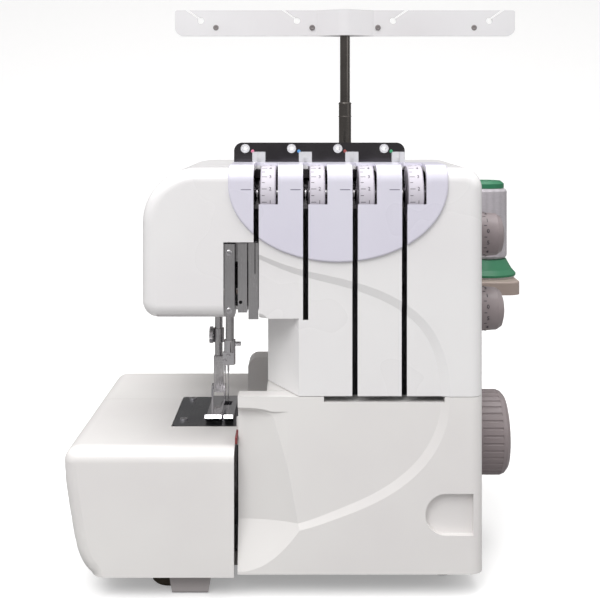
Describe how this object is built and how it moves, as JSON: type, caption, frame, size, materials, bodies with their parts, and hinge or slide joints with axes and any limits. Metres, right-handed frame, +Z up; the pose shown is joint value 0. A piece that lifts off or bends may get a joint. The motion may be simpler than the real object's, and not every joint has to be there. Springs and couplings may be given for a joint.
{
  "type": "overlock sewing machine",
  "caption": "Home overlock machine with sewing head, sliding cloth plate, fold-down looper cover, tension dials, handwheel, spool tray and telescopic thread guide.",
  "frame": {"origin": "middle of the machine's footprint, on the surface its feet stand on", "axes": "+Z up, +X to the user's right, -Y towards the user"},
  "size_m": [0.342, 0.228, 0.4135],
  "materials": {
    "white_plastic": "satin",
    "lavender_plastic": "satin",
    "dial_plastic": "satin",
    "grey_plastic": "matte",
    "black_plastic": "matte",
    "leg_plastic": "matte",
    "pan": "satin",
    "frame": "cast",
    "steel": "ground",
    "bright_steel": "polished",
    "dark_steel": "brushed",
    "guide_metal": "polished",
    "clear_plastic": "clear",
    "rubber": "matte",
    "felt": "soft",
    "green_plastic": "satin",
    "thread": "wound",
    "bar_plastic": "satin",
    "pulley_metal": "turned",
    "red_plastic": "satin"
  },
  "bodies": {
    "machine": {"front_casing": "white_plastic", "rear_casing": "white_plastic", "tension_panel": "lavender_plastic", "rear_bed_cover": "white_plastic", "lower_housing": "white_plastic", "looper_wall": "white_plastic", "base_pan": "pan", "rubber_feet": "rubber", "front_leg": "leg_plastic", "frame_casting": "frame", "drive_belt": "rubber", "motor": "frame", "needle_plate": "dark_steel", "needle_plate_screws": "bright_steel", "lower_knife": "steel", "tension_discs": "bright_steel", "tension_bracket": "steel", "guide_plate": "guide_metal", "clear_thread_guides": "clear_plastic", "inlet_and_switch_frame": "black_plastic", "lifter_bracket": "steel", "take_up_cover": "steel", "lamp_lens": "clear_plastic", "spool_tray": "grey_plastic", "spool_pins": "black_plastic", "tray_bracket": "steel", "rear_screws": "bright_steel", "spool_cushions": "felt", "mast_tube": "steel"},
    "cover_rod": {"looper_hinge_rod": "steel"},
    "looper_cover": {"looper_cover": "white_plastic"},
    "cloth_plate": {"cloth_plate": "white_plastic"},
    "needle_bar": {"needle_bar": "steel", "needle_clamp": "steel", "needles": "bright_steel"},
    "lower_looper": {"lower_looper": "bright_steel"},
    "upper_looper": {"upper_looper": "bright_steel"},
    "upper_knife": {"upper_knife": "steel"},
    "feed_dogs": {"feed_dogs": "steel"},
    "main_drive": {"main_shaft": "steel", "handwheel": "grey_plastic", "shaft_pulley": "pulley_metal"},
    "motor_pulley": {"motor_pulley": "black_plastic"},
    "presser_bar": {"presser_bar": "steel", "presser_shank": "steel", "thumb_screw": "bright_steel"},
    "presser_foot": {"presser_foot": "bright_steel"},
    "presser_lifter": {"presser_lifter": "black_plastic"},
    "tension_dial_1": {"tension_dial_1": "dial_plastic"},
    "tension_dial_2": {"tension_dial_2": "dial_plastic"},
    "tension_dial_3": {"tension_dial_3": "dial_plastic"},
    "tension_dial_4": {"tension_dial_4": "dial_plastic"},
    "stitch_dial": {"stitch_dial": "grey_plastic"},
    "feed_dial": {"feed_dial": "grey_plastic"},
    "power_switch": {"power_switch": "black_plastic"},
    "release_knob": {"release_knob": "red_plastic"},
    "mast_rod": {"mast_rod": "steel"},
    "thread_guide_bar": {"thread_guide_bar": "bar_plastic"},
    "spool": {"spool_core": "green_plastic", "spool_thread": "thread"}
  },
  "joints": [
    {"name": "cover_shift", "type": "slide", "parent": "machine", "child": "cover_rod", "axis": [1, 0, 0], "range_m": [0, 0.0035]},
    {"name": "cover_fold", "type": "hinge", "parent": "cover_rod", "child": "looper_cover", "pos_m": [0, -0.1016, 0.021], "axis": [1, 0, 0], "range_deg": [0, 88]},
    {"name": "cloth_plate_slide", "type": "slide", "parent": "machine", "child": "cloth_plate", "axis": [-1, 0, 0], "range_m": [0, 0.14]},
    {"name": "needle_bar_stroke", "type": "slide", "parent": "machine", "child": "needle_bar", "axis": [0, 0, 1], "range_m": [-0.008, 0.019]},
    {"name": "lower_looper_swing", "type": "hinge", "parent": "machine", "child": "lower_looper", "pos_m": [-0.052, -0.0066, 0.045], "axis": [0, 1, 0], "range_deg": [-13.2, 5.6]},
    {"name": "upper_looper_stroke", "type": "slide", "parent": "machine", "child": "upper_looper", "axis": [0, 0, 1], "range_m": [-0.0041, 0.0096]},
    {"name": "upper_knife_stroke", "type": "slide", "parent": "machine", "child": "upper_knife", "axis": [0, 0, 1], "range_m": [-0.0025, 0.0058]},
    {"name": "feed_dogs_stroke", "type": "slide", "parent": "machine", "child": "feed_dogs", "axis": [0, 1, 0], "range_m": [-0.0007, 0.0016]},
    {"name": "handwheel_spin", "type": "hinge", "parent": "machine", "child": "main_drive", "pos_m": [0, -0.0246, 0.085], "axis": [1, 0, 0], "continuous": true},
    {"name": "motor_spin", "type": "hinge", "parent": "machine", "child": "motor_pulley", "pos_m": [0, -0.0056, 0.052], "axis": [1, 0, 0], "continuous": true},
    {"name": "presser_bar_lift", "type": "slide", "parent": "machine", "child": "presser_bar", "axis": [0, 0, 1], "range_m": [0, 0.006]},
    {"name": "presser_lifter_turn", "type": "hinge", "parent": "machine", "child": "presser_lifter", "pos_m": [-0.075, 0.0209, 0.203], "axis": [1, 0, 0], "range_deg": [0, 24.1]},
    {"name": "presser_foot_tilt", "type": "hinge", "parent": "presser_bar", "child": "presser_foot", "pos_m": [-0.075, -0.0061, 0.1135], "axis": [-1, 0, 0], "range_deg": [0, 2]},
    {"name": "tension_dial_1_turn", "type": "hinge", "parent": "machine", "child": "tension_dial_1", "pos_m": [-0.0336, -0.0942, 0.2695], "axis": [1, 0, 0], "range_deg": [-130, 130]},
    {"name": "tension_dial_2_turn", "type": "hinge", "parent": "machine", "child": "tension_dial_2", "pos_m": [-0.0005, -0.0942, 0.2695], "axis": [1, 0, 0], "range_deg": [-130, 130]},
    {"name": "tension_dial_3_turn", "type": "hinge", "parent": "machine", "child": "tension_dial_3", "pos_m": [0.0326, -0.0942, 0.2695], "axis": [1, 0, 0], "range_deg": [-130, 130]},
    {"name": "tension_dial_4_turn", "type": "hinge", "parent": "machine", "child": "tension_dial_4", "pos_m": [0.0657, -0.0942, 0.2695], "axis": [1, 0, 0], "range_deg": [-130, 130]},
    {"name": "stitch_dial_turn", "type": "hinge", "parent": "machine", "child": "stitch_dial", "pos_m": [0.111, -0.0516, 0.183], "axis": [1, 0, 0], "range_deg": [-140, 140]},
    {"name": "feed_dial_turn", "type": "hinge", "parent": "machine", "child": "feed_dial", "pos_m": [0.111, -0.0516, 0.237], "axis": [1, 0, 0], "range_deg": [-140, 140]},
    {"name": "power_switch_rock", "type": "hinge", "parent": "machine", "child": "power_switch", "pos_m": [0.108, 0.0134, 0.063], "axis": [0, 1, 0], "range_deg": [0, 12]},
    {"name": "release_knob_push", "type": "slide", "parent": "machine", "child": "release_knob", "axis": [0, 1, 0], "range_m": [0, 0.004], "stiffness_N_per_m": 60},
    {"name": "mast_slide", "type": "slide", "parent": "machine", "child": "mast_rod", "axis": [0, 0, 1], "range_m": [-0.055, 0]},
    {"name": "thread_guide_bar_turn", "type": "hinge", "parent": "mast_rod", "child": "thread_guide_bar", "pos_m": [0.026, 0.0744, 0.3915], "axis": [0, 0, 1], "range_deg": [-90, 90]},
    {"name": "spool_lift", "type": "slide", "parent": "machine", "child": "spool", "axis": [0, 0, 1], "range_m": [0, 0.09]}
  ],
  "couplings": [
    {"joint": "lower_looper_swing", "follows": "needle_bar_stroke", "rad_per_m": -12},
    {"joint": "upper_looper_stroke", "follows": "needle_bar_stroke", "ratio": 0.5},
    {"joint": "upper_knife_stroke", "follows": "needle_bar_stroke", "ratio": 0.3},
    {"joint": "feed_dogs_stroke", "follows": "needle_bar_stroke", "ratio": 0.08},
    {"joint": "motor_spin", "follows": "handwheel_spin", "ratio": 3},
    {"joint": "presser_lifter_turn", "follows": "presser_bar_lift", "rad_per_m": 70}
  ]
}
